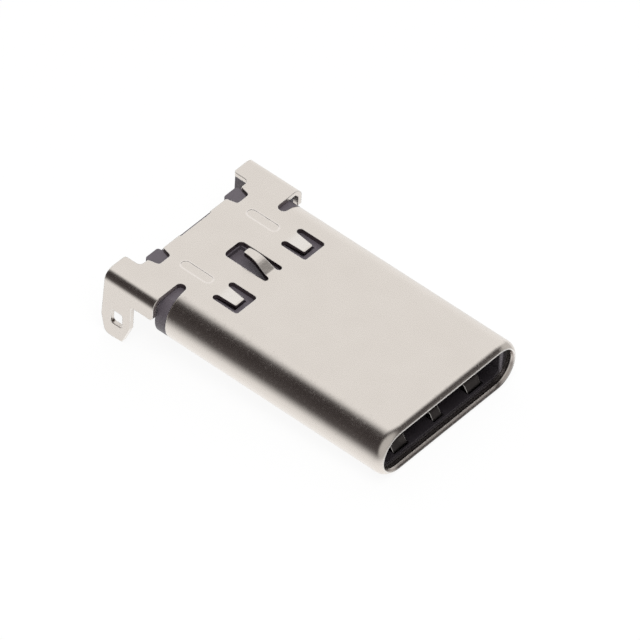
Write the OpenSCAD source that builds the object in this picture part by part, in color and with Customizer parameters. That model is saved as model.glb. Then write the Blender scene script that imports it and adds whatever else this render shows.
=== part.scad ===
// USB-C plug for the edge of a circuit board. A folded sheet shell holds a moulded insulator,
// two contact carriers, a latch plate and two ground springs, and its legs pass through the board.
// The mouth faces -Y with its middle at the origin, +Z is up. Sizes in millimetres and degrees.

/* [Shell tube] */
// Outer width of the tube
shell_w = 8.25; // [8:0.01:8.6]
// Outer height of the tube
shell_h = 2.4; // [2.36:0.01:2.6]
// Thickness of the folded sheet
sheet_t = 0.2; // [0.14:0.01:0.22]
// Outer radius of the lip that curls in round the mouth
lip_r = 0.42; // [0.3:0.01:0.46]
// Angle through which the lip curls
lip_turn = 62; // [50:1:75]
// Distance from the mouth to the tube's rear edge
tube_rear = 10.98; // [10.6:0.01:12]

/* [Top plate] */
// Width of the slot between the tube and each wing, along the plug
slot_w = 0.43; // [0.3:0.01:0.6]
// How far the slot reaches in past the end of the flat top
slot_reach = 0.095; // [0.05:0.005:0.3]
// Corner radius at the slot's inner end
slot_r = 0.2; // [0.05:0.01:0.2]
// Length of each wing, along the plug
wing_len = 2.5; // [2.2:0.01:3]
// Width of each wing, seen from above
wing_w = 1.2; // [1:0.01:1.4]
// How far the wings stand out beyond the tube on each side
wing_out = 0.275; // [0.15:0.005:0.5]
// Outer radius of the bend between wing and leg
bend_r = 0.45; // [0.35:0.01:0.6]
// How far the wings reach behind the plate's rear edge
wing_tail = 0.78; // [0.5:0.01:1]
// Distance of each rear notch from the middle
notch_x = 2.31; // [2:0.01:2.4]
// Width of a rear notch at its open end
notch_w = 0.9; // [0.7:0.01:1]
// Width of a rear notch at its closed end
notch_floor_w = 0.66; // [0.4:0.01:0.7]
// Depth of a rear notch
notch_d = 0.49; // [0.3:0.01:0.6]
// Width of the shallow relief in the middle of the rear edge
relief_w = 1.8; // [1:0.1:2.6]
// Depth of that relief
relief_d = 0.07; // [0.03:0.01:0.15]

/* [Legs] */
// Height of the board's top face below the shell's top
seat_drop = 1.01; // [0.9:0.01:1.1]
// Width of each leg, along the plug
leg_w = 1.4; // [1.3:0.01:1.6]
// Length of each leg below the board's top face
leg_len = 2.17; // [1.9:0.01:2.6]
// Width of the flat at the leg's tip
leg_tip_w = 0.88; // [0.7:0.01:1]
// Length of the tapered end, on the front edge
leg_taper = 0.95; // [0.8:0.01:1.2]
// How far the rear edge leans back on its way down
leg_flare = 0.07; // [0:0.01:0.1]
// Width of the slot through each leg
leg_hole_w = 0.58; // [0.4:0.01:0.65]
// Height of the slot through each leg
leg_hole_h = 0.71; // [0.5:0.01:0.8]
// Distance from the leg's tip to that slot
leg_hole_up = 0.72; // [0.6:0.01:0.9]
// Distance from the leg's rear edge to the middle of that slot
leg_hole_in = 0.705; // [0.6:0.005:0.8]

/* [Lances and ground arm] */
// Distance of each lance from the middle
lance_x = 2.02; // [1.8:0.01:2.1]
// Width of the cut round a lance
lance_w = 1.22; // [1.1:0.01:1.4]
// Length of the cut round a lance
lance_len = 1.31; // [1.1:0.01:1.5]
// Width of the lance's tongue at its root
tongue_w = 0.64; // [0.56:0.01:0.7]
// Width of the lance's tongue at its tip
tongue_tip_w = 0.52; // [0.4:0.01:0.56]
// Gap in front of the tongue
tongue_gap = 0.34; // [0.2:0.01:0.4]
// How far the tongue's tip is pressed in
tongue_dip = 0.05; // [0.02:0.01:0.12]
// Distance from the lances' root to the tube's rear edge
lance_back = 1; // [0.8:0.01:1.2]
// Width of the window round the ground arm
window_w = 1.04; // [0.9:0.01:1.2]
// Length of that window
window_len = 2.18; // [2:0.01:2.4]
// How far the window reaches behind the tube's rear edge
window_back = 0.22; // [0.1:0.01:0.3]
// Width of the ground arm at its root
arm_root_w = 0.56; // [0.45:0.01:0.65]
// Width of the ground arm at its tip
arm_tip_w = 0.34; // [0.25:0.01:0.4]
// How far the ground arm stands up above the shell
arm_rise = 0.38; // [0.3:0.01:0.5]
// Slope of the ground arm
arm_slope = 28; // [20:1:35]
// Distance of each pressed bar from the middle
bar_x = 1.95; // [1.8:0.01:2.1]
// Width of a pressed bar
bar_w = 0.42; // [0.3:0.01:0.5]
// Length of a pressed bar
bar_len = 1.55; // [1.2:0.01:1.7]
// Distance from the tube's rear edge back to the middle of a pressed bar
bar_back = 0.33; // [0.2:0.01:0.5]
// Depth of a pressed bar
bar_d = 0.015; // [0.01:0.005:0.05]

/* [Insulator] */
// Clearance between pieces that fit into each other
fit = 0.02; // [0.01:0.005:0.03]
// Distance from the tube's outside to the cavity's side walls
side_wall = 0.725; // [0.68:0.005:0.77]
// Height of the cavity at the mouth
mouth_h = 1.5; // [1.3:0.01:1.5]
// Height of the cavity between the contact rows
cavity_h = 0.9; // [0.84:0.01:1]
// Depth at which the cavity narrows
mouth_depth = 2.5; // [2.4:0.01:2.6]
// Depth of the cavity's end wall
cavity_depth = 6.6; // [6.4:0.01:6.8]
// Length of the contact carriers inside the tube
carrier_len = 2.62; // [2.5:0.01:2.8]
// Thickness of the collar behind the tube
collar_len = 0.53; // [0.44:0.01:0.6]
// Height of the hood's underside above the board
hood_up = 0.55; // [0.5:0.01:0.62]
// How far the hood reaches behind the plate's rear edge
hood_over = 0.11; // [0.05:0.01:0.15]
// Gap round the two hood ears that stand in the notches
ear_gap = 0.06; // [0.04:0.01:0.1]
// How far the ears stay below the shell's top
ear_low = 0.1; // [0.02:0.01:0.15]
// How far the ears reach behind the plate's rear edge
ear_over = 0.21; // [0.16:0.01:0.3]
// Gap between each tower and the leg beside it
tower_gap = 0.2; // [0.19:0.01:0.3]
// Gap between the outer contacts and the towers that stand on the board
tower_clear = 0.36; // [0.1:0.01:0.5]
// How far the towers stay inside the wings' rear edge
tower_short = 0.07; // [0.05:0.01:0.2]

/* [Contacts] */
// Distance between neighbouring contacts
pitch = 0.5; // [0.48:0.01:0.5]
// Width of a contact
contact_w = 0.26; // [0.2:0.01:0.28]
// Thickness of a contact
contact_t = 0.15; // [0.1:0.01:0.16]
// Height of the contacts' straight runs from the middle plane
beam_z = 0.6; // [0.58:0.01:0.62]
// Height of the bumps' inner faces from the middle plane
bump_z = 0.32; // [0.3:0.01:0.34]
// Slope of the springing beams
beam_slope = 4; // [3.8:0.1:5]
// Thickness of the board that the tails straddle
board_t = 0.8; // [0.7:0.01:1]
// Length of a tail on the board's top face
upper_tail = 1.3; // [1:0.01:1.35]
// Length of a tail under the board
lower_tail = 1.1; // [0.8:0.01:1.4]
// How far the upper tails reach behind the plate's rear edge
tail_over = 0.4; // [0.3:0.01:0.5]

/* [Latch plate and ground springs] */
// Thickness of the latch plate
latch_t = 0.2; // [0.15:0.01:0.22]
// How far the latch arms reach back behind the cavity's side walls
latch_back = 0.18; // [0.14:0.01:0.2]
// Width of a latch arm
latch_w = 0.28; // [0.24:0.01:0.3]
// How far a latch hook reaches into the cavity
hook_reach = 0.3; // [0.2:0.01:0.35]
// Depth of the hooks behind the mouth
hook_depth = 3.5; // [3.3:0.01:3.8]
// Thickness of a ground spring's sheet
spring_t = 0.1; // [0.08:0.01:0.1]
// Half the width of a ground spring's band
spring_half = 2.75; // [2.66:0.01:2.8]
// Length of a ground spring's band
spring_band = 1.3; // [1:0.01:1.5]
// Depth of the spring fingers' crests behind the mouth
crest_depth = 0.95; // [0.9:0.01:1]
// How far the spring fingers stand into the cavity
finger_rise = 0.3; // [0.2:0.01:0.32]
// Width of the middle finger
mid_finger_w = 0.5; // [0.4:0.01:0.6]
// Width of the side fingers
side_finger_w = 0.8; // [0.6:0.01:0.85]
// Distance of the side fingers from the middle
side_finger_x = 2.2; // [2.1:0.01:2.24]

/* [Hidden] */
$fn = 48;
CORNER_STEPS = 6;
TURN_STEPS = 8;
LOWER_ROW = [1, 2, 3, 4, 5, 8, 9, 10, 11, 12];
ROW_COUNT = 12;
UPPER_ROW = [for (i = [1:ROW_COUNT]) i];

// Tube
top_z = shell_h / 2;
plate_z = top_z - sheet_t;
flat_half = shell_w / 2 - top_z;
lip_depth = lip_r * sin(lip_turn);
wing_front = tube_rear + slot_w;
wing_rear = wing_front + wing_len;
plate_rear = wing_rear - wing_tail;
slot_in = flat_half - slot_reach;
leg_out = shell_w / 2 + wing_out;
leg_in = leg_out - sheet_t;
bend_x = leg_out - bend_r;
bend_z = top_z - bend_r;
far = 2 * shell_w;

// Corner radii of the stamped outlines
notch_r = 0.12;
wing_corner_r = 0.12;
wing_root_r = 0.2;
edge_r = 0.05;
window_r = 0.2;
lance_r = 0.12;
tongue_r = 0.08;
ear_r = 0.12;

// How far the bent parts of the shell run on into the straight parts beside them
fold_lap = 0.1;

// Legs
seat_z = top_z - seat_drop;
tip_z = seat_z - leg_len;
leg_front = wing_rear - leg_w;
leg_heel = 0.15;
shoulder_r = 0.17;
tip_front_r = 0.18;
tip_rear_r = 0.3;
leg_hole_y = wing_rear - leg_hole_in;

// Lances and ground arm
lance_root = tube_rear - lance_back;
lance_slot_w = (lance_w - tongue_w) / 2;
tongue_len = lance_len - tongue_gap - lance_slot_w / 2;
tongue_tilt = asin(tongue_dip / tongue_len);
window_rear = tube_rear + window_back;
window_front = window_rear - window_len;
window_slot_w = (window_w - arm_root_w) / 2;
arm_bend_r = 0.35;
arm_crest_r = 1.2;
arm_nose_angle = 8;
arm_flat = window_slot_w / 2;
arm_root_lap = 0.3;
arm_tip = 0.1;
arm_run = (arm_rise - (arm_bend_r + arm_crest_r) * (1 - cos(arm_slope))) / sin(arm_slope);

// Insulator
core_inset = sheet_t + fit;
core_z = top_z - core_inset;
housing_front = lip_depth + fit;
carrier_front = tube_rear - carrier_len;
collar_front = tube_rear + fit;
board_front = tube_rear + collar_len;
cavity_w = shell_w - 2 * side_wall;
cavity_r = 0.3;
channel_side = 0.04;
channel_w = contact_w + 2 * channel_side;
beam_room = 0.085;
channel_top = beam_z + contact_t / 2 + beam_room;
channel_gap = 0.3;
channel_front = mouth_depth + channel_gap;
tunnel_w = contact_w + 2 * fit;
tunnel_h = contact_t + 2 * fit;
hood_z = seat_z + hood_up;
tower_out = leg_in - tower_gap;
tower_in = contact_x(ROW_COUNT) + contact_w / 2 + tower_clear;
arm_well_side = 0.04;
arm_well_d = 0.22;
lance_well_room = 0.08;
lance_well_d = tongue_dip + lance_well_room;
lance_well_side = 0.03;

// Contacts
tail_bend_r = 0.3;
beam_bend_r = 1;
bump_r = 0.4;
bump_angle = 35;
tip_len = 0.2;
bump_mid = bump_z + contact_t / 2;
beam_fall = beam_z - bump_mid;
beam_lead = 0.1;
beam_start = cavity_depth - beam_lead;
upper_tail_z = seat_z + contact_t / 2;
lower_tail_z = board_t - seat_z + contact_t / 2;
lower_jog_angle = tail_jog(beam_z - lower_tail_z);
tail_lead = 0.05;

// Latch plate and ground springs
latch_out = cavity_w / 2 + latch_back;
latch_in = latch_out - latch_w;
hook_in = cavity_w / 2 - hook_reach;
hook_len = 0.3;
hook_ramp = 0.45;
latch_front_gap = 0.3;
latch_rear_gap = 0.25;
hook_room = 0.15;
latch_slot_front = hook_depth - hook_ramp - hook_room;
spring_in = 0.08;
spring_z = plate_z - spring_in;
finger_slope = 25;
finger_nose_angle = 57;
finger_bend_r = 0.5;
finger_crest_r = 0.2;
finger_tip = 0.35;
finger_fall = spring_z - mouth_h / 2 + finger_rise - spring_t / 2;
finger_run = (finger_fall - (finger_bend_r + finger_crest_r) * (1 - cos(finger_slope))) / sin(finger_slope);
finger_bends = (finger_bend_r + finger_crest_r) * sin(finger_slope);
band_front = crest_depth + finger_bends + finger_run * cos(finger_slope);
band_rear = band_front + spring_band;
front_bar = 0.1;
finger_window_front = housing_front + front_bar;
finger_side = 0.05;

// Points of the arc that rounds corner b, between its neighbours a and c
function unit(v) = v / norm(v);
function round_corner(a, b, c, r) =
    let (u = unit(a - b), w = unit(c - b), half = acos(u * w) / 2)
    let (centre = b + unit(u + w) * r / sin(half), first = b + u * r / tan(half) - centre)
    let (last = b + w * r / tan(half) - centre, start = atan2(first.y, first.x))
    let (sweep = (atan2(last.y, last.x) - start + 540) % 360 - 180)
    [for (k = [0:CORNER_STEPS])
        let (angle = start + sweep * k / CORNER_STEPS) centre + r * [cos(angle), sin(angle)]];

// Outline through corners that are each [x, y, radius]
function rounded(corners) =
    [for (i = [0:len(corners) - 1])
        let (n = len(corners), a = corners[(i + n - 1) % n], b = corners[i], c = corners[(i + 1) % n])
        let (at = [b.x, b.y])
        each b.z > 0 ? round_corner([a.x, a.y], at, [c.x, c.y], b.z) : [at]];

// A list of corners on the +X side, with its mirror image added in order
function both_sides(corners) =
    concat(corners, [for (i = [len(corners) - 1:-1:0]) [-corners[i].x, corners[i].y, corners[i].z]]);

// Corners of a rectangle between two points, all with one radius
function box_corners(x0, y0, x1, y1, r) = [[x0, y0, r], [x1, y0, r], [x1, y1, r], [x0, y1, r]];

// Moves of a strip's middle line: straight on, or round an arc, left turns counted positive
function go(run) = [run, 0, 0];
function turn(r, angle) = [0, r, angle];

// Points [y, z, heading] along a middle line that makes these moves
function walk(at, heading, moves, i = 0) =
    i == len(moves) ? [[at.x, at.y, heading]] :
    let (run = moves[i][0], angle = moves[i][2], r = moves[i][1] * sign(angle))
    let (centre = at + r * [-sin(heading), cos(heading)], last = heading + angle)
    let (ahead = at + run * [cos(heading), sin(heading)])
    angle == 0 ?
        concat([[at.x, at.y, heading]], walk(ahead, heading, moves, i + 1)) :
        concat(
            [for (k = [0:TURN_STEPS - 1])
                let (a = heading + angle * k / TURN_STEPS) [centre.x + r * sin(a), centre.y - r * cos(a), a]],
            walk(centre + r * [sin(last), -cos(last)], last, moves, i + 1));

// Outline of a strip of even thickness along such a line
function strip(line, t) =
    let (left = [for (p = line) [p.x, p.y] + t / 2 * [-sin(p.z), cos(p.z)]])
    let (right = [for (p = line) [p.x, p.y] - t / 2 * [-sin(p.z), cos(p.z)]])
    concat(left, [for (i = [len(right) - 1:-1:0]) right[i]]);

// Flat shapes drawn in XZ, YZ or XY and given a length along the third axis
module along_y(from, to) {
    translate([0, to, 0]) rotate([90, 0, 0]) linear_extrude(height = to - from) children();
}

module along_x(from, to) {
    translate([from, 0, 0]) rotate([90, 0, 90]) linear_extrude(height = to - from) children();
}

module along_z(from, to) {
    translate([0, 0, from]) linear_extrude(height = to - from) children();
}

module both() {
    children();
    mirror([1, 0, 0]) children();
}

module block(x0, y0, z0, x1, y1, z1) {
    translate([x0, y0, z0]) cube([x1 - x0, y1 - y0, z1 - z0]);
}

// Cross-section of the tube, drawn in by an inset
module stadium(inset) {
    r = top_z - inset;
    square([2 * flat_half, 2 * r], center = true);
    for (side = [-1, 1]) translate([side * flat_half, 0]) circle(r = r);
}

// Half of that cross-section, above or below the middle plane
module half_stadium(inset, up) {
    intersection() {
        stadium(inset);
        translate([0, up * shell_h / 2]) square([far, shell_h], center = true);
    }
}

// Section of the curled lip, drawn with its outer face at x = 0 and the mouth at y = 0
module lip_section() {
    reach = 2 * lip_r;
    translate([-lip_r, lip_depth]) intersection() {
        difference() {
            circle(r = lip_r);
            circle(r = lip_r - sheet_t);
        }
        polygon([[0, 0], reach * [cos(lip_turn), -sin(lip_turn)], [reach, 0]]);
    }
    translate([-sheet_t, lip_depth]) square([sheet_t, fold_lap]);
}

// The lip along the flat top and bottom and round both ends
module lip() {
    for (up = [0, 1]) mirror([0, 0, up])
        along_x(-flat_half, flat_half) translate([0, top_z]) rotate(90) mirror([0, 1]) lip_section();
    both() translate([flat_half, 0, 0]) rotate([-90, 0, 0]) rotate([0, 0, -90])
        rotate_extrude(angle = 180) translate([top_z, 0]) lip_section();
}

// Cross-section of the tube's sheet
module tube_section() {
    difference() {
        stadium(0);
        stadium(sheet_t);
    }
}

// The tube, with its top running on between the slots to meet the plate
module tube() {
    along_y(lip_depth, tube_rear) tube_section();
    along_y(tube_rear - fold_lap, wing_front - slot_r) intersection() {
        tube_section();
        translate([-far / 2, plate_z - sheet_t]) square(far);
    }
}

// Plan of the plate behind the tube, with its wings, notches and relief
module plate_plan() {
    polygon(rounded(both_sides([
        [slot_in - slot_r, tube_rear, 0],
        [slot_in - slot_r, tube_rear + slot_r, 0],
        [slot_in + slot_r, tube_rear + slot_r, 0],
        [slot_in + slot_r, wing_front, 0],
        [bend_x, wing_front, 0],
        [bend_x, wing_rear, 0],
        [leg_out - wing_w, wing_rear, wing_corner_r],
        [leg_out - wing_w, plate_rear, wing_root_r],
        [notch_x + notch_w / 2, plate_rear, edge_r],
        [notch_x + notch_floor_w / 2, plate_rear - notch_d, notch_r],
        [notch_x - notch_floor_w / 2, plate_rear - notch_d, notch_r],
        [notch_x - notch_w / 2, plate_rear, edge_r],
        [relief_w / 2, plate_rear, 0],
        [relief_w / 2, plate_rear - relief_d, 0]])));
}

// The round bend at the outer edge of the +X wing
module wing_bend() {
    bend_in = bend_r - sheet_t;
    along_y(wing_front, wing_rear) translate([bend_x, bend_z]) {
        intersection() {
            difference() {
                circle(r = bend_r);
                circle(r = bend_in);
            }
            square(bend_r);
        }
        translate([-fold_lap, bend_in]) square([fold_lap, sheet_t]);
        translate([bend_in, -fold_lap]) square([sheet_t, fold_lap]);
    }
}

// The upright shoulder and leg below the +X bend, with the slot through the leg
module leg() {
    hole_z = tip_z + leg_hole_up;
    along_x(leg_in, leg_out) difference() {
        polygon(rounded([
            [wing_front, bend_z, 0],
            [wing_front, seat_z, shoulder_r],
            [leg_front, seat_z, leg_heel],
            [leg_front, tip_z + leg_taper, tip_rear_r],
            [wing_rear - leg_tip_w - leg_heel, tip_z, tip_front_r],
            [wing_rear - leg_heel, tip_z, tip_rear_r],
            [wing_rear + leg_flare, tip_z + leg_tip_w, tip_rear_r],
            [wing_rear, bend_z, 0]]));
        polygon(rounded(box_corners(
            leg_hole_y - leg_hole_w / 2, hole_z, leg_hole_y + leg_hole_w / 2, hole_z + leg_hole_h, notch_r)));
    }
}

// Plan of a cut round a tongue whose root is at y = 0: a slot on each side, joined beyond the tip
module tongue_plan(w, len, slot, r) {
    polygon(rounded([[-w / 2, len, r], [w / 2, len, r], [w / 2, slot / 2, 0], [-w / 2, slot / 2, 0]]));
    for (side = [-1, 1]) translate([side * (w - slot) / 2, slot / 2]) circle(d = slot);
}

// The cut round a lance
module lance_cut() {
    along_z(plate_z - sheet_t, far) translate([lance_x, lance_root]) mirror([0, 1])
        tongue_plan(lance_w, lance_len, lance_slot_w, lance_r);
}

// The lance's tongue, hinged at its root and pressed in at its tip
module tongue() {
    translate([lance_x, lance_root - lance_slot_w / 2, top_z]) rotate([tongue_tilt, 0, 0])
        along_z(-sheet_t, 0) polygon(rounded([
            [-tongue_w / 2, 0, 0], [-tongue_tip_w / 2, -tongue_len, tongue_r],
            [tongue_tip_w / 2, -tongue_len, tongue_r], [tongue_w / 2, 0, 0]]));
}

// The window round the ground arm
module arm_window() {
    along_z(plate_z - sheet_t, far) translate([0, window_front])
        tongue_plan(window_w, window_len, window_slot_w, window_r);
}

// The ground arm: a tapered strip that springs up out of its window
module ground_arm() {
    moves = [go(arm_root_lap + arm_flat), turn(arm_bend_r, arm_slope), go(arm_run),
        turn(arm_crest_r, -arm_slope - arm_nose_angle), go(arm_tip)];
    line = walk([window_front - arm_root_lap, top_z - sheet_t / 2], 0, moves);
    end_y = line[len(line) - 1].x - sheet_t * sin(arm_nose_angle);
    intersection() {
        along_x(-arm_root_w, arm_root_w) polygon(strip(line, sheet_t));
        along_z(0, far) polygon(rounded(both_sides([
            [arm_root_w / 2, window_front - arm_root_lap, 0], [arm_root_w / 2, window_front + arm_flat, 0],
            [arm_tip_w / 2, end_y, tongue_r]])));
    }
}

// A shallow bar pressed into the top
module pressed_bar() {
    along_z(top_z - bar_d, far) translate([bar_x, tube_rear + bar_back]) {
        square([bar_w, bar_len - bar_w], center = true);
        for (end = [-1, 1]) translate([0, end * (bar_len - bar_w) / 2]) circle(d = bar_w);
    }
}

// One stamping: tube, curled lip, top plate, wings, legs, lances and ground arm
module shell() {
    color("silver") union() {
        difference() {
            union() {
                tube();
                lip();
                along_z(plate_z, top_z) plate_plan();
                both() {
                    wing_bend();
                    leg();
                }
            }
            both() {
                along_z(-far, far) polygon(rounded([
                    [slot_in, tube_rear, slot_r], [far, tube_rear, 0],
                    [far, wing_front, 0], [slot_in, wing_front, slot_r]]));
                lance_cut();
                pressed_bar();
            }
            arm_window();
        }
        both() tongue();
        ground_arm();
    }
}

// X of a contact in the upper row, whose numbers run from -X to +X
function contact_x(i) = (i - (ROW_COUNT + 1) / 2) * pitch;

// Channels and passages for one row, drawn for the upper side
module row_cuts(places) {
    for (x = places) {
        block(x - channel_w / 2, channel_front, 0, x + channel_w / 2, cavity_depth, channel_top);
        block(x - tunnel_w / 2, cavity_depth - fit, beam_z - tunnel_h / 2,
            x + tunnel_w / 2, far, beam_z + tunnel_h / 2);
    }
}

// X of each spring finger with its width
FINGERS = [[0, mid_finger_w], [side_finger_x, side_finger_w], [-side_finger_x, side_finger_w]];

// Seat of a ground spring on the outer face, with the windows for its fingers
module spring_cuts() {
    seat = spring_z - spring_t / 2 - fit / 2;
    block(-spring_half - fit, band_front - finger_side, seat, spring_half + fit, band_rear + fit, far);
    for (f = FINGERS)
        block(f.x - f.y / 2 - finger_side, finger_window_front, 0,
            f.x + f.y / 2 + finger_side, band_front + finger_side, far);
}

// The moulded insulator that lines the tube and takes the mating tongue
module housing() {
    color("#33303a") difference() {
        along_y(housing_front, carrier_front) stadium(core_inset);
        along_y(0, mouth_depth) polygon(rounded(box_corners(
            -cavity_w / 2, -mouth_h / 2, cavity_w / 2, mouth_h / 2, cavity_r)));
        along_y(0, cavity_depth) polygon(rounded(box_corners(
            -cavity_w / 2, -cavity_h / 2, cavity_w / 2, cavity_h / 2, cavity_r)));
        row_cuts([for (i = UPPER_ROW) contact_x(i)]);
        mirror([0, 0, 1]) row_cuts([for (i = LOWER_ROW) -contact_x(i)]);
        for (up = [0, 1]) mirror([0, 0, up]) spring_cuts();
        both() block(hook_in, latch_slot_front, -latch_t / 2 - fit, latch_out + fit, far, latch_t / 2 + fit);
    }
}

// Room for the latch plate between the two carriers
module latch_room() {
    block(-latch_out - fit, carrier_front - fit, -latch_t / 2 - fit,
        latch_out + fit, board_front - latch_rear_gap + fit, latch_t / 2 + fit);
}

// Tunnels through a carrier for its row of contacts
module tunnels(places) {
    for (x = places)
        block(x - tunnel_w / 2, carrier_front - fit, beam_z - tunnel_h / 2,
            x + tunnel_w / 2, board_front + fit, beam_z + tunnel_h / 2);
}

// Room in the collar for the step from the lower contacts' straight runs to their tails
module tail_pockets(places) {
    front = board_front - tail_lead - jog_run(lower_jog_angle) - fit;
    for (x = places)
        block(x - tunnel_w / 2, front, min(beam_z, lower_tail_z) - tunnel_h / 2,
            x + tunnel_w / 2, board_front + fit, max(beam_z, lower_tail_z) + tunnel_h / 2);
}

// Wells in the carrier's top, under the ground arm and under each lance
module wells() {
    side = window_w / 2 - arm_well_side;
    block(-side, window_front + arm_well_side, core_z - arm_well_d, side, window_rear - arm_well_side, far);
    both() block(lance_x - tongue_w / 2 - lance_well_side, lance_root - lance_len + tongue_gap - fit,
        core_z - lance_well_d, lance_x + tongue_w / 2 + lance_well_side, lance_root, far);
}

// A hood ear, which stands in the +X notch with a gap all round
module ear() {
    floor_half = notch_floor_w / 2 - ear_gap;
    open_half = notch_w / 2 - ear_gap;
    along_z(hood_z, top_z - ear_low) translate([notch_x, plate_rear]) polygon(rounded(both_sides([
        [floor_half, ear_gap - notch_d, notch_r], [open_half, 0, 0], [open_half, ear_over, ear_r]])));
}

// Upper half of the rear insulator, with its collar, the hood over the tails and two towers
module upper_contact_carrier() {
    color("#2d2a33") difference() {
        union() {
            along_y(carrier_front, tube_rear + fit) half_stadium(core_inset, 1);
            intersection() {
                along_y(collar_front, board_front) half_stadium(0, 1);
                block(-far, 0, 0, far, far, core_z);
            }
            block(-tower_in, board_front - fit, hood_z, tower_in, plate_rear + hood_over, core_z);
            both() {
                block(tower_in - fit, board_front - fit, seat_z, tower_out, wing_rear - tower_short, core_z);
                ear();
            }
        }
        latch_room();
        tunnels([for (i = UPPER_ROW) contact_x(i)]);
        wells();
    }
}

// Lower half of the rear insulator, with the collar's lower half that the board butts against
module lower_contact_carrier() {
    color("#2d2a33") difference() {
        union() {
            along_y(carrier_front, tube_rear + fit) half_stadium(core_inset, -1);
            along_y(collar_front, board_front) half_stadium(0, -1);
        }
        latch_room();
        mirror([0, 0, 1]) {
            tunnels([for (i = LOWER_ROW) -contact_x(i)]);
            tail_pockets([for (i = LOWER_ROW) -contact_x(i)]);
        }
    }
}

// The flat latch plate: a middle plate between the carriers with a hooked arm along each side
module latch_plate() {
    rear = board_front - latch_rear_gap;
    color("#c9c4bb") along_z(-latch_t / 2, latch_t / 2) polygon(rounded(both_sides([
        [latch_in, carrier_front + latch_front_gap, latch_w],
        [latch_in, hook_depth + hook_len + hook_ramp, latch_w],
        [hook_in, hook_depth + hook_len, edge_r],
        [hook_in, hook_depth, edge_r],
        [latch_in, hook_depth - hook_ramp, 0],
        [latch_out, hook_depth - hook_ramp, edge_r],
        [latch_out, rear, latch_w]])));
}

// A ground spring: a flat band outside the insulator with three fingers bent in through it
module ground_spring() {
    moves = [go(spring_band), turn(finger_bend_r, finger_slope), go(finger_run),
        turn(finger_crest_r, -finger_slope - finger_nose_angle), go(finger_tip)];
    profile = strip(walk([band_rear, spring_z], 180, moves), spring_t);
    color("#b9b4ab") union() {
        along_z(spring_z - spring_t / 2, spring_z + spring_t / 2)
            translate([-spring_half, band_front]) square([2 * spring_half, spring_band]);
        for (f = FINGERS) along_x(f.x - f.y / 2, f.x + f.y / 2) polygon(profile);
    }
}

module upper_ground_spring() {
    ground_spring();
}

module lower_ground_spring() {
    mirror([0, 0, 1]) ground_spring();
}

// Angle of the double bend that lifts a tail by this rise, and the length that it takes
function tail_jog(rise) = sign(rise) * acos(1 - abs(rise) / (2 * tail_bend_r));
function jog_run(bend) = 2 * tail_bend_r * abs(sin(bend));

// A stamped contact: board tail, double bend, straight run, springing beam and rounded bump
module contact(x, tail_z, tail_rear, tail_len) {
    bend = tail_jog(beam_z - tail_z);
    straight = tail_rear - tail_len - jog_run(bend) - beam_start;
    beam_len = (beam_fall - (beam_bend_r + bump_r) * (1 - cos(beam_slope))) / sin(beam_slope);
    moves = [go(tail_len), turn(tail_bend_r, -bend), turn(tail_bend_r, bend), go(straight),
        turn(beam_bend_r, beam_slope), go(beam_len), turn(bump_r, -beam_slope - bump_angle), go(tip_len)];
    color("#d9a441") along_x(x - contact_w / 2, x + contact_w / 2)
        polygon(strip(walk([tail_rear, tail_z], 180, moves), contact_t));
}

module upper_contact(i) {
    contact(contact_x(i), upper_tail_z, plate_rear + tail_over, upper_tail);
}

// The lower row is numbered the other way, and its tails leave the collar flush with the board's underside
module lower_contact(i) {
    mirror([0, 0, 1])
        contact(-contact_x(i), lower_tail_z, board_front + lower_tail, lower_tail + tail_lead);
}

shell();
housing();
upper_contact_carrier();
lower_contact_carrier();
latch_plate();
upper_ground_spring();
lower_ground_spring();
for (i = UPPER_ROW) upper_contact(i);
for (i = LOWER_ROW) lower_contact(i);
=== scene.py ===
# %% [markdown]
# A small data and power plug for the edge of a circuit board, dressed for a studio picture. The solids
# arrive at their real size from the imported part, in metres, and stay where they are. This lesson gives
# them a camera, light, softened edges and finishes. The first step loads the part, and a helper reads the
# box of any of its pieces. The dressed plug must not grow out of it.

import math
from types import SimpleNamespace

import bpy
from mathutils import Matrix, Vector


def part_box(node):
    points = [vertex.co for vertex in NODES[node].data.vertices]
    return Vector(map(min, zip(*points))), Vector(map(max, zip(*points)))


MM = 0.001
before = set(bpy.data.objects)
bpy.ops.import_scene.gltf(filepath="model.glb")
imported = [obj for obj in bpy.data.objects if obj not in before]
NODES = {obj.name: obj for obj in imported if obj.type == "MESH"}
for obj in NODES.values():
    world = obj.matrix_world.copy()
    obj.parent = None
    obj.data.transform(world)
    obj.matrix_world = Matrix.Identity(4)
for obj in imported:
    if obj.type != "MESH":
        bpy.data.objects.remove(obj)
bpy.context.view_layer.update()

# %% [markdown]
# The picture was taken from far away with a long lens, so the plug's edges stay almost parallel. The
# camera could be placed by eye, but here it is set by the angles it looks from, by how many pixels a
# millimetre takes, and by where the plug's middle falls in the picture, because these can be measured.
# The plug rests on its nose and the tips of its legs, so it lies a few degrees nose-down, and a small
# roll of the camera stands for that.

# %% Camera
PICTURE_PX = 640
SENSOR_MM = 36.0
VIEW_AZIMUTH = math.radians(-51.79)
VIEW_ELEVATION = math.radians(45.21)
VIEW_ROLL = math.radians(3.70)
VIEW_DISTANCE = 499.3 * MM
PX_PER_MM = 25.842
PLUG_MIDDLE = Vector((0, 6.0 * MM, 0))
MIDDLE_PX = Vector((332.02, 334.64))


def view_axes(azimuth, elevation, roll):
    """Right, up and backward directions of a camera that looks from these angles."""
    level = math.cos(elevation)
    back = Vector((math.sin(azimuth) * level, -math.cos(azimuth) * level, math.sin(elevation)))
    right = Vector((0, 0, 1)).cross(back).normalized()
    up = back.cross(right)
    turned = math.cos(roll) * right + math.sin(roll) * up
    return turned, back.cross(turned), back


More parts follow.
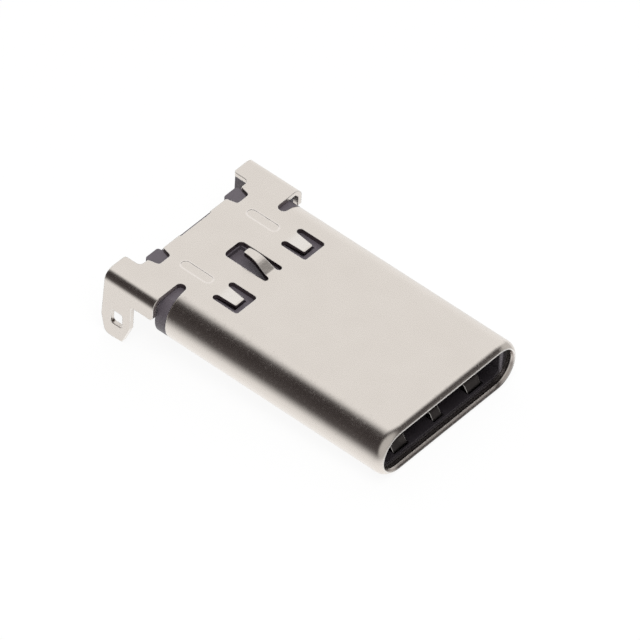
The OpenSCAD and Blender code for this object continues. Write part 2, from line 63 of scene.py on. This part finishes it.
def add_camera():
    """Camera far out along the view, shifted sideways until the plug's middle falls on its pixel."""
    right, up, back = view_axes(VIEW_AZIMUTH, VIEW_ELEVATION, VIEW_ROLL)
    offset = (MIDDLE_PX - Vector((PICTURE_PX / 2, PICTURE_PX / 2))) * MM / PX_PER_MM
    aim = PLUG_MIDDLE - right * offset.x + up * offset.y
    data = bpy.data.cameras.new("camera")
    data.sensor_width = SENSOR_MM
    data.lens = SENSOR_MM * (VIEW_DISTANCE / MM) * PX_PER_MM / PICTURE_PX
    camera = bpy.data.objects.new("camera", data)
    place = Matrix((right, up, back)).transposed().to_4x4()
    place.translation = aim + back * VIEW_DISTANCE
    camera.matrix_world = place
    bpy.context.scene.collection.objects.link(camera)
    bpy.context.scene.camera = camera
    return camera


camera = add_camera()
print("lens in mm:", round(camera.data.lens, 1))

# %% [markdown]
# The plug stands on a plain white floor. For the eye most of the floor's white is its own, so that it
# stays white to the picture's edge, and the rest is lit and keeps the plug's faint shadow. The floor
# touches the nose and the tips of the legs, so it leans a little against the plug's own frame. The metal
# doesn't mirror the sheet itself: it sees the white that the next step puts below it.

# %% Floor
FLOOR_HALF = 400 * MM
FLOOR_WHITE = 0.95
FLOOR_GLOW = 0.9
NOSE_Y = 0.37 * MM
LEG_TIP_IN = 0.6 * MM


def new_material(name):
    """A material with an empty node tree and its output."""
    material = bpy.data.materials.new(name)
    material.use_nodes = True
    tree = material.node_tree
    tree.nodes.clear()
    return material, tree, tree.nodes.new("ShaderNodeOutputMaterial")


def floor_paint():
    """Matt white that mostly shines by itself for the camera."""
    material, tree, out = new_material("pale_floor")
    matt = tree.nodes.new("ShaderNodeBsdfDiffuse")
    matt.inputs["Color"].default_value = (FLOOR_WHITE, FLOOR_WHITE, FLOOR_WHITE, 1)
    shine = tree.nodes.new("ShaderNodeEmission")
    path = tree.nodes.new("ShaderNodeLightPath")
    share = tree.nodes.new("ShaderNodeMath")
    share.operation = "MULTIPLY"
    share.inputs[1].default_value = FLOOR_GLOW
    mix = tree.nodes.new("ShaderNodeMixShader")
    tree.links.new(path.outputs["Is Camera Ray"], share.inputs[0])
    tree.links.new(share.outputs[0], mix.inputs["Fac"])
    tree.links.new(matt.outputs[0], mix.inputs[1])
    tree.links.new(shine.outputs[0], mix.inputs[2])
    tree.links.new(mix.outputs[0], out.inputs["Surface"])
    return material


def add_floor():
    """A sheet through the lowest line of the nose and the tips of the legs. Returns its slope."""
    # The lower carrier's collar is as low as the tube, while the shell's own box also holds the legs
    nose_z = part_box("lower_contact_carrier")[0].z
    legs_low, legs_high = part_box("shell")
    tip_y = legs_high.y - LEG_TIP_IN
    slope = (legs_low.z - nose_z) / (tip_y - NOSE_Y)
    corners = [(FLOOR_HALF * x, FLOOR_HALF * y, nose_z + slope * (FLOOR_HALF * y - NOSE_Y))
               for x, y in ((-1, -1), (1, -1), (1, 1), (-1, 1))]
    mesh = bpy.data.meshes.new("floor")
    mesh.from_pydata(corners, [], [(0, 1, 2, 3)])
    mesh.materials.append(floor_paint())
    floor = bpy.data.objects.new("floor", mesh)
    floor.visible_glossy = False
    bpy.context.scene.collection.objects.link(floor)
    return slope


print("floor leans by", round(math.degrees(math.atan(add_floor())), 2), "degrees")

# %% [markdown]
# Bright metal shows little but its surroundings, so the light is built for the reflections. Lamps could
# do it, but each would show as a hard-edged patch, so the world itself is painted by direction. A broad
# soft glow behind and to the right fills the flat top, and white rises from below. Between the two the
# studio is dim, and that gives the long dark band on the round side and the dark line along the lip. A
# dimmer glow in front and a narrow one on the right light the plug for views from behind. The first cell
# holds small helpers for nodes, which the finishes use again.

# %% Helpers for nodes
def math_node(tree, operation, source, value=None):
    """One step of arithmetic on a socket."""
    node = tree.nodes.new("ShaderNodeMath")
    node.operation = operation
    tree.links.new(source, node.inputs[0])
    if value is not None:
        node.inputs[1].default_value = value
    return node.outputs[0]


def map_range(tree, source, values):
    """The source moved from one span, the first two values, to another, the last two."""
    node = tree.nodes.new("ShaderNodeMapRange")
    for socket, value in zip(("From Min", "From Max", "To Min", "To Max"), values):
        node.inputs[socket].default_value = value
    tree.links.new(source, node.inputs["Value"])
    return node.outputs["Result"]


def color_mix(tree, blend, factor, first, second):
    """Mix of two colours, each a socket or a plain colour."""
    node = tree.nodes.new("ShaderNodeMix")
    node.data_type = "RGBA"
    node.blend_type = blend
    for socket, value in (("Factor", factor), ("A", first), ("B", second)):
        if isinstance(value, bpy.types.NodeSocket):
            tree.links.new(value, node.inputs[socket])
        else:
            node.inputs[socket].default_value = value
    return node.outputs["Result"]


def color_ramp(tree, source, steps, interpolation):
    """Colour that goes from step to step, each a place and a colour, while the source grows."""
    node = tree.nodes.new("ShaderNodeValToRGB")
    node.color_ramp.interpolation = interpolation
    stops = node.color_ramp.elements
    while len(stops) < len(steps):
        stops.new(1)
    for stop, (place, color) in zip(stops, steps):
        stop.position = place
        stop.color = (*color, 1)
    tree.links.new(source, node.inputs["Fac"])
    return node.outputs["Color"]


print("helpers:", [helper.__name__ for helper in (math_node, map_range, color_mix, color_ramp)])

# %% Studio world
# Each step is a place on a ramp and the colour there
DIM = (0.040, 0.033, 0.033)
HORIZON = (0.078, 0.069, 0.069)
BEHIND = Vector((0.59, 0.55, 0.59))
BEHIND_STEPS = ((0.47, DIM), (0.81, (1.05, 1.05, 1.05)), (1, (0.99, 0.99, 0.99)))
FRONT = Vector((-0.55, -0.74, 0.38))
FRONT_STEPS = ((0.47, DIM), (0.82, (0.60, 0.59, 0.58)))
RIGHT = Vector((0.95, -0.32, 0.02))
RIGHT_STEPS = ((0.82, DIM), (0.91, (0.66, 0.65, 0.64)))
BELOW_STEPS = ((0.22, DIM), (0.5, HORIZON), (0.87, (1.04, 1.04, 1.04)), (0.96, (1.14, 1.14, 1.14)))
# Straight up is depth 0 and straight down is depth 1
DEPTH_SPAN = (1, -1, 0, 1)
WHITE = (1, 1, 1, 1)


def glow(tree, way, direction, steps):
    """Round soft glow in the world about one direction. The steps go by the cosine of the angle to it."""
    toward = tree.nodes.new("ShaderNodeVectorMath")
    toward.operation = "DOT_PRODUCT"
    toward.inputs[1].default_value = direction.normalized()
    tree.links.new(way, toward.inputs[0])
    return color_ramp(tree, toward.outputs["Value"], steps, "EASE")


def folded_up(tree, way):
    """The way looked, folded up at the horizon, so that a glow also fills what lies low on its side."""
    level = tree.nodes.new("ShaderNodeCombineXYZ")
    for axis in "XY":
        tree.links.new(way.outputs[axis], level.inputs[axis])
    tree.links.new(math_node(tree, "ABSOLUTE", way.outputs["Z"]), level.inputs["Z"])
    return level.outputs[0]


def add_world():
    """White for the camera, and for the plug a dim studio with white below and three glows."""
    world = bpy.data.worlds.new("studio")
    bpy.context.scene.world = world
    world.use_nodes = True
    tree = world.node_tree
    tree.nodes.clear()
    looked = tree.nodes.new("ShaderNodeTexCoord").outputs["Generated"]
    way = tree.nodes.new("ShaderNodeSeparateXYZ")
    tree.links.new(looked, way.inputs[0])
    around = color_ramp(tree, map_range(tree, way.outputs["Z"], DEPTH_SPAN), BELOW_STEPS, "EASE")
    glows = (glow(tree, folded_up(tree, way), BEHIND, BEHIND_STEPS),
             glow(tree, looked, FRONT, FRONT_STEPS),
             glow(tree, looked, RIGHT, RIGHT_STEPS))
    for light in glows:
        around = color_mix(tree, "LIGHTEN", 1, around, light)
    path = tree.nodes.new("ShaderNodeLightPath")
    background = tree.nodes.new("ShaderNodeBackground")
    out = tree.nodes.new("ShaderNodeOutputWorld")
    seen = color_mix(tree, "MIX", path.outputs["Is Camera Ray"], around, WHITE)
    tree.links.new(seen, background.inputs["Color"])
    tree.links.new(background.outputs[0], out.inputs["Surface"])
    return len(glows)


bpy.context.scene.view_settings.view_transform = "Standard"
print("glows in the world:", add_world())

# %% [markdown]
# The plastic and the floor are matt, and need light that falls on them. Several small lamps could do
# that, but each would add a shadow of its own, so there is one large lamp above and to the front left.
# It is kept out of reflections and leaves no bright spot on the metal.

# %% Lamp
LAMP_PLACE = Vector((-70, -50, 260)) * MM
LAMP_SIZE = 200 * MM
LAMP_POWER = 0.55


def add_lamp(name, place, size, power):
    """Square lamp that looks at the plug's middle."""
    data = bpy.data.lights.new(name, "AREA")
    data.size = size
    data.energy = power
    lamp = bpy.data.objects.new(name, data)
    lamp.location = place
    lamp.rotation_euler = (PLUG_MIDDLE - place).to_track_quat("-Z", "Y").to_euler()
    lamp.visible_glossy = False
    bpy.context.scene.collection.objects.link(lamp)
    return lamp


lamp = add_lamp("overhead", LAMP_PLACE, LAMP_SIZE, LAMP_POWER)
print("lamp:", lamp.name, "at mm", [round(v / MM) for v in lamp.location])

# %% [markdown]
# Stamped sheet and moulded plastic have no knife edges. Beveling the solids would cost thousands of
# slivers round the small cuts, so the edge is rounded in the shading instead: near an edge the normal
# turns from one face to the other. How far it has turned also tells where the edge is, and there the
# plastic is rubbed paler and the metal takes a pale tone that is partly burnish and partly a painted
# highlight. Both come out of one node group, which every finish uses with its own radius.

# %% Soft edges
EDGE_SAMPLES = 8
EDGE_TURN = (0.995, 0.80)
# A mask with a span fades in from the first value of the span to the second
FADE_IN = (0, 1)


def soft_edge_group():
    """Node group: a normal that turns round edges, and a mask that is 1 on them."""
    tree = bpy.data.node_groups.new("soft_edge", "ShaderNodeTree")
    tree.interface.new_socket("Radius", in_out="INPUT", socket_type="NodeSocketFloat")
    tree.interface.new_socket("Normal", in_out="OUTPUT", socket_type="NodeSocketVector")
    tree.interface.new_socket("Edge", in_out="OUTPUT", socket_type="NodeSocketFloat")
    start = tree.nodes.new("NodeGroupInput")
    end = tree.nodes.new("NodeGroupOutput")
    rounded = tree.nodes.new("ShaderNodeBevel")
    rounded.samples = EDGE_SAMPLES
    surface = tree.nodes.new("ShaderNodeNewGeometry")
    same = tree.nodes.new("ShaderNodeVectorMath")
    same.operation = "DOT_PRODUCT"
    tree.links.new(start.outputs["Radius"], rounded.inputs["Radius"])
    tree.links.new(rounded.outputs["Normal"], same.inputs[0])
    tree.links.new(surface.outputs["Normal"], same.inputs[1])
    tree.links.new(rounded.outputs["Normal"], end.inputs["Normal"])
    tree.links.new(map_range(tree, same.outputs["Value"], EDGE_TURN + FADE_IN), end.inputs["Edge"])
    return tree


SOFT_EDGE = soft_edge_group()
print("group:", SOFT_EDGE.name, "with", [item.name for item in SOFT_EDGE.interface.items_tree])

# %% [markdown]
# The plated sheet has a very fine satin grain, and both plating and plastic drift a little in tone over
# a millimetre or so. A picture of a surface could give that, but two noise textures on the piece's own
# coordinates have no seams and no fixed sharpness. The peaks of the fine one also come out as specks,
# which scatter a little more light than the rest and make the satin.

# %% Shared grain
PER_MM = 1 / MM
NOISE_DETAIL = 2
SPECK_SPAN = (0.55, 0.80)


def noise(tree, place, per_mm):
    """Smooth random value over the piece, with so many blots to a millimetre."""
    node = tree.nodes.new("ShaderNodeTexNoise")
    node.inputs["Detail"].default_value = NOISE_DETAIL
    tree.links.new(place, node.inputs["Vector"])
    tree.links.new(per_mm, node.inputs["Scale"])
    return node.outputs["Fac"]


def grain_group():
    """Node group: fine grain, its specks and a cloudy drift, from the piece's own coordinates."""
    tree = bpy.data.node_groups.new("surface_grain", "ShaderNodeTree")
    for name in ("Grain per mm", "Cloud per mm"):
        tree.interface.new_socket(name, in_out="INPUT", socket_type="NodeSocketFloat")
    for name in ("Grain", "Cloud", "Speck"):
        tree.interface.new_socket(name, in_out="OUTPUT", socket_type="NodeSocketFloat")
    start = tree.nodes.new("NodeGroupInput")
    end = tree.nodes.new("NodeGroupOutput")
    coords = tree.nodes.new("ShaderNodeTexCoord")
    in_mm = tree.nodes.new("ShaderNodeVectorMath")
    in_mm.operation = "SCALE"
    in_mm.inputs["Scale"].default_value = PER_MM
    tree.links.new(coords.outputs["Object"], in_mm.inputs[0])
    fine = noise(tree, in_mm.outputs[0], start.outputs["Grain per mm"])
    cloud = noise(tree, in_mm.outputs[0], start.outputs["Cloud per mm"])
    tree.links.new(fine, end.inputs["Grain"])
    tree.links.new(cloud, end.inputs["Cloud"])
    tree.links.new(map_range(tree, fine, SPECK_SPAN + FADE_IN), end.inputs["Speck"])
    return tree


GRAIN = grain_group()
print("group:", GRAIN.name, "with", [item.name for item in GRAIN.interface.items_tree])

# %% [markdown]
# The press leaves its marks on the shell. Round the mouth the sheet ends in a raw cut, duller than the
# plating and with a broader rounded edge. The tongues of the two lances get a paler tone, which is a
# painted highlight. Two bars are pressed so lightly into the top that only a soft shoulder shows, and its
# pale tone is a painted highlight. The walls of the window and the lances are raw cut, and their dark
# tone is partly painted shade. Each mark is a mask made from the piece's own coordinates, because the
# marks lie where the tool struck, the painted light where the light falls, and the solids give no
# separate faces for them.

# %% Masks by place
TOP_Z = 1.0 * MM


def both(tree, first, second):
    """Product of two masks."""
    node = tree.nodes.new("ShaderNodeMath")
    node.operation = "MULTIPLY"
    tree.links.new(first, node.inputs[0])
    tree.links.new(second, node.inputs[1])
    return node.outputs[0]


def own_place(tree):
    """The three coordinates of the piece itself."""
    coords = tree.nodes.new("ShaderNodeTexCoord")
    place = tree.nodes.new("ShaderNodeSeparateXYZ")
    tree.links.new(coords.outputs["Object"], place.inputs[0])
    return place.outputs


def across_from(tree, place, middle):
    """Sideways distance from a line on either side of the plug, this far from its middle."""
    return math_node(tree, "SUBTRACT", math_node(tree, "ABSOLUTE", place["X"]), middle)


def on_top(tree, place):
    """Mask of the flat top plate."""
    return math_node(tree, "GREATER_THAN", place["Z"], TOP_Z)


print("top plate starts at mm", round(TOP_Z / MM, 2))

# %% Raw cut round the mouth
MOUTH_DEPTH = (0.14 * MM, 0.10 * MM)
SHEET_RADIUS = 0.06 * MM
MOUTH_RADIUS = 0.14 * MM
CUT_TONE = (0.50, 0.45, 0.42, 1)


def near_mouth(tree):
    """Mask of the very front of the plug."""
    return map_range(tree, own_place(tree)["Y"], MOUTH_DEPTH + FADE_IN)


def cut_end(tree, mouth):
    """Mask of the sheet's raw end round the mouth: the faces there that look inwards."""
    coords = tree.nodes.new("ShaderNodeTexCoord")
    surface = tree.nodes.new("ShaderNodeNewGeometry")
    flat = tree.nodes.new("ShaderNodeVectorMath")
    flat.operation = "MULTIPLY"
    flat.inputs[1].default_value = (1, 0, 1)
    outward = tree.nodes.new("ShaderNodeVectorMath")
    outward.operation = "DOT_PRODUCT"
    tree.links.new(coords.outputs["Object"], flat.inputs[0])
    tree.links.new(flat.outputs[0], outward.inputs[0])
    tree.links.new(surface.outputs["Normal"], outward.inputs[1])
    return both(tree, mouth, math_node(tree, "LESS_THAN", outward.outputs["Value"], 0))


print("raw cut reaches mm", [round(depth / MM, 2) for depth in MOUTH_DEPTH])

# %% Painted highlight on the tongues
TONGUE_X = 2.02 * MM
TONGUE_SIDE = (0.36 * MM, 0.30 * MM)
TONGUE_ROOT = (10.0 * MM, 9.7 * MM)
TONGUE_TIP = 9.1 * MM
# Paler tone on the tongues: a painted highlight
TONGUE_HIGHLIGHT_TONE = (0.79, 0.75, 0.71, 1)


def tongues(tree):
    """Mask of the two tongues of the lances."""
    place = own_place(tree)
    across = math_node(tree, "ABSOLUTE", across_from(tree, place, TONGUE_X))
    wide = map_range(tree, across, TONGUE_SIDE + FADE_IN)
    before_root = map_range(tree, place["Y"], TONGUE_ROOT + FADE_IN)
    behind_tip = math_node(tree, "GREATER_THAN", place["Y"], TONGUE_TIP)
    return both(tree, both(tree, wide, both(tree, before_root, behind_tip)), on_top(tree, place))


print("tongues end at mm", round(TONGUE_TIP / MM, 2))

# %% Pressed bars with a painted highlight
BAR_AT = Vector((1.95, 11.31)) * MM
BAR_HALF_WIDTH = 0.21 * MM
BAR_STRAIGHT = 0.565 * MM
BAR_LINE = (0.06 * MM, 0.03 * MM)
# Pale tone on the bars' shoulders: a painted highlight
BAR_HIGHLIGHT_TONE = (0.80, 0.745, 0.70, 1)


def bar_outline(tree):
    """Mask of the soft shoulder round each bar, from the distance to the bar's middle line."""
    place = own_place(tree)
    along = math_node(tree, "ABSOLUTE", math_node(tree, "SUBTRACT", place["Y"], BAR_AT.y))
    beyond = math_node(tree, "MAXIMUM", math_node(tree, "SUBTRACT", along, BAR_STRAIGHT), 0)
    away = tree.nodes.new("ShaderNodeCombineXYZ")
    tree.links.new(across_from(tree, place, BAR_AT.x), away.inputs["X"])
    tree.links.new(beyond, away.inputs["Y"])
    far = tree.nodes.new("ShaderNodeVectorMath")
    far.operation = "LENGTH"
    tree.links.new(away.outputs[0], far.inputs[0])
    off = math_node(tree, "ABSOLUTE", math_node(tree, "SUBTRACT", far.outputs["Value"], BAR_HALF_WIDTH))
    line = map_range(tree, off, BAR_LINE + FADE_IN)
    return both(tree, line, on_top(tree, place))


bar_size = (2 * (BAR_STRAIGHT + BAR_HALF_WIDTH), 2 * BAR_HALF_WIDTH)
print("bars in mm:", [round(size / MM, 2) for size in bar_size])

# %% Painted shade on the raw walls of the window and the lances
SLOTS_HALF_WIDTH = 3.0 * MM
SLOTS_MIDDLE = 10.2 * MM
SLOTS_HALF_LENGTH = 1.6 * MM
SLOT_WALL_Z = 0.9 * MM
# The dark tone of the walls is partly raw cut and partly painted shade
SLOT_WALL_SHADE_TONE = (0.24, 0.20, 0.20, 1)
WALL_SLOPE = 0.5
# Values for map_range that turn a mask into its opposite
OPPOSITE = (0, 1, 1, 0)


def steep(tree):
    """Mask of the faces that stand up."""
    surface = tree.nodes.new("ShaderNodeNewGeometry")
    facing = tree.nodes.new("ShaderNodeSeparateXYZ")
    tree.links.new(surface.outputs["Normal"], facing.inputs[0])
    return math_node(tree, "LESS_THAN", facing.outputs["Z"], WALL_SLOPE)


def slot_walls(tree):
    """Mask of the cut walls of the window and the lances."""
    place = own_place(tree)
    along = math_node(tree, "ABSOLUTE", math_node(tree, "SUBTRACT", place["Y"], SLOTS_MIDDLE))
    near = math_node(tree, "LESS_THAN", math_node(tree, "ABSOLUTE", place["X"]), SLOTS_HALF_WIDTH)
    inside = both(tree, near, math_node(tree, "LESS_THAN", along, SLOTS_HALF_LENGTH))
    high = math_node(tree, "GREATER_THAN", place["Z"], SLOT_WALL_Z)
    return both(tree, both(tree, inside, high), steep(tree))


def raw_slots_painted_shade(tree, color):
    """The colour with the raw walls of the slots darkened over it, partly as painted shade. The low walls
    of the bars are left out.
    """
    off_bars = map_range(tree, bar_outline(tree), OPPOSITE)
    return color_mix(tree, "MIX", both(tree, slot_walls(tree), off_bars), color, SLOT_WALL_SHADE_TONE)


slots_span = (SLOTS_MIDDLE - SLOTS_HALF_LENGTH, SLOTS_MIDDLE + SLOTS_HALF_LENGTH)
print("slots lie within mm", [round(end / MM, 2) for end in slots_span])

# %% Marks and painted highlights on the shell
UPWARD = (0, 0, 1, 1)


def shell_marks_and_highlights(look):
    """Adds the press's marks and the painted highlights to the look of the shell: its colours, edge
    radius, normal and metal.
    """
    tree = look.tree
    mouth = near_mouth(tree)
    radius = map_range(tree, mouth, (0, 1, SHEET_RADIUS, MOUTH_RADIUS))
    tree.links.new(radius, look.rim.inputs["Radius"])
    outline = bar_outline(tree)
    # The raw cut is duller plating, and the paler tones on the tongues and the bars' shoulders are
    # painted highlights
    toned = ((cut_end(tree, mouth), CUT_TONE), (tongues(tree), TONGUE_HIGHLIGHT_TONE), (outline, BAR_HIGHLIGHT_TONE))
    for mask, tone in toned:
        look.face = color_mix(tree, "MIX", mask, look.face, tone)
    # The shoulders face up in the shading and their low walls lose their metal, so that they show the
    # pale painted highlight and no dark line
    look.normal = color_mix(tree, "MIX", outline, look.normal, UPWARD)
    wall = both(tree, outline, steep(tree))
    tree.links.new(map_range(tree, wall, OPPOSITE), look.shader.inputs["Metallic"])


print("edge radius in mm:", round(SHEET_RADIUS / MM, 2), "and at the mouth", round(MOUTH_RADIUS / MM, 2))

# %% [markdown]
# At the two ends of the mouth the insulator's rim has a small slanted facet, which catches the light
# from the front and looks paler than the rest. The solids have a plain rim there, so a short upright
# strip of a paler tone is painted there as a highlight, again as a mask by place.

# %% Painted highlight on the insulator's facets
FACET_X = 3.53 * MM
FACET_SIDE = (0.11 * MM, 0.05 * MM)
FACET_DEPTH = (0.50 * MM, 0.45 * MM)
# Paler tone on the facets: a painted highlight
FACET_HIGHLIGHT_TONE = (0.18, 0.165, 0.185, 1)


def housing_painted_highlight(look):
    """Adds the painted highlight on the facets to the look of the housing."""
    tree = look.tree
    place = own_place(tree)
    across = math_node(tree, "ABSOLUTE", across_from(tree, place, FACET_X))
    side = map_range(tree, across, FACET_SIDE + FADE_IN)
    front = map_range(tree, place["Y"], FACET_DEPTH + FADE_IN)
    look.face = color_mix(tree, "MIX", both(tree, side, front), look.face, FACET_HIGHLIGHT_TONE)


print("facets at mm", round(-FACET_X / MM, 2), "and", round(FACET_X / MM, 2))

# %% [markdown]
# Finishes. The shell is nickel-plated steel sheet with a satin face, pale and faintly warm. The
# insulator is black moulded plastic with a faint purple cast, and its front half is the deeper black.
# The springs and the latch plate are spring sheet, whose dull tone is darkened further as painted shade,
# and the contacts are gold-plated. All five are one recipe with other values: the colour drifts between
# two near tones and takes a paler third one on the edges, partly a painted highlight, the roughness
# follows the same drift and the specks, and the fine grain gives a very low relief.

# %% Recipe for a finish
CLOUD_SPAN = (0.3, 0.7)
SPECK_ROUGHNESS = 0.14
GRAIN_HEIGHT = 0.01 * MM


def place_group(tree, group, values):
    """A group in a material, with its own values."""
    node = tree.nodes.new("ShaderNodeGroup")
    node.node_tree = group
    for name, value in values.items():
        node.inputs[name].default_value = value
    return node


def finish(name, tones, edge, metallic, rough, radius, grain_per_mm, cloud_per_mm, relief,
           marks=None, walls=None):
    """A material that drifts between two tones, with fine grain, paler edges that are partly a painted
    highlight, and marks and painted light of its own.
    """
    material, tree, out = new_material(name)
    shader = tree.nodes.new("ShaderNodeBsdfPrincipled")
    shader.inputs["Metallic"].default_value = metallic
    rim = place_group(tree, SOFT_EDGE, {"Radius": radius})
    grain = place_group(tree, GRAIN, {"Grain per mm": grain_per_mm, "Cloud per mm": cloud_per_mm})
    face = color_ramp(tree, grain.outputs["Cloud"], tuple(zip(CLOUD_SPAN, tones)), "LINEAR")
    look = SimpleNamespace(tree=tree, shader=shader, rim=rim, face=face, normal=rim.outputs["Normal"])
    if marks:
        marks(look)
    satin = tree.nodes.new("ShaderNodeMath")
    satin.operation = "MULTIPLY_ADD"
    satin.inputs[1].default_value = SPECK_ROUGHNESS
    tree.links.new(grain.outputs["Speck"], satin.inputs[0])
    tree.links.new(map_range(tree, grain.outputs["Cloud"], CLOUD_SPAN + rough), satin.inputs[2])
    bump = tree.nodes.new("ShaderNodeBump")
    bump.inputs["Strength"].default_value = relief
    bump.inputs["Distance"].default_value = GRAIN_HEIGHT
    tree.links.new(grain.outputs["Grain"], bump.inputs["Height"])
    tree.links.new(look.normal, bump.inputs["Normal"])
    # The paler edge tone is rubbing on the plastic, and on the metals partly burnish and partly a painted
    # highlight
    color = color_mix(tree, "MIX", rim.outputs["Edge"], look.face, (*edge, 1))
    if walls:
        color = walls(tree, color)
    tree.links.new(color, shader.inputs["Base Color"])
    tree.links.new(satin.outputs[0], shader.inputs["Roughness"])
    tree.links.new(bump.outputs["Normal"], shader.inputs["Normal"])
    tree.links.new(shader.outputs[0], out.inputs["Surface"])
    return material


print("recipe uses the groups", SOFT_EDGE.name, "and", GRAIN.name)

# %% The five finishes
PLASTIC_ROUGH = (0.42, 0.50)
PLASTIC_RADIUS = 0.04 * MM

nickel_satin = finish(
    "nickel_satin", tones=((0.71, 0.66, 0.61), (0.73, 0.68, 0.63)), edge=(0.88, 0.86, 0.83),
    metallic=1.0, rough=(0.23, 0.26), radius=SHEET_RADIUS, grain_per_mm=10, cloud_per_mm=0.8, relief=0.12,
    marks=shell_marks_and_highlights, walls=raw_slots_painted_shade)
# The very dark tones of the spring sheet are partly painted shade, and its pale edge tone is a painted
# highlight
shaded_spring_sheet = finish(
    "spring_sheet_painted_shade", tones=((0.15, 0.14, 0.135), (0.19, 0.175, 0.17)), edge=(0.92, 0.90, 0.87),
    metallic=1.0, rough=(0.28, 0.36), radius=0.05 * MM, grain_per_mm=20, cloud_per_mm=1.5, relief=0.1)
black_plastic = finish(
    "moulded_black", tones=((0.095, 0.081, 0.095), (0.115, 0.099, 0.115)), edge=(0.14, 0.124, 0.14),
    metallic=0.0, rough=PLASTIC_ROUGH, radius=PLASTIC_RADIUS, grain_per_mm=16, cloud_per_mm=1.5,
    relief=0.1)
deep_black = finish(
    "moulded_deep_black", tones=((0.034, 0.029, 0.034), (0.042, 0.036, 0.042)), edge=(0.06, 0.053, 0.06),
    metallic=0.0, rough=PLASTIC_ROUGH, radius=PLASTIC_RADIUS, grain_per_mm=16, cloud_per_mm=1.5,
    relief=0.1, marks=housing_painted_highlight)
gold_plate = finish(
    "gold_flash", tones=((0.78, 0.56, 0.24), (0.86, 0.66, 0.31)), edge=(0.92, 0.76, 0.42),
    metallic=1.0, rough=(0.2, 0.28), radius=0.02 * MM, grain_per_mm=20, cloud_per_mm=2.0, relief=0.1)
FINISHES = (nickel_satin, shaded_spring_sheet, black_plastic, deep_black, gold_plate)
print("finishes:", [material.name for material in FINISHES])

# %% [markdown]
# Each solid gets one finish by its name. The 22 contacts are the only pieces that the list leaves out,
# and they are all gold.

# %% Dress the pieces
FINISH_OF = {"shell": nickel_satin, "housing": deep_black, "upper_contact_carrier": black_plastic,
             "lower_contact_carrier": black_plastic, "latch_plate": shaded_spring_sheet,
             "upper_ground_spring": shaded_spring_sheet, "lower_ground_spring": shaded_spring_sheet}

for name, piece in NODES.items():
    material = FINISH_OF.get(name, gold_plate)
    if not piece.material_slots:
        piece.data.materials.append(material)
    for slot in piece.material_slots:
        slot.material = material
print("gold pieces:", len([name for name in NODES if name not in FINISH_OF]))
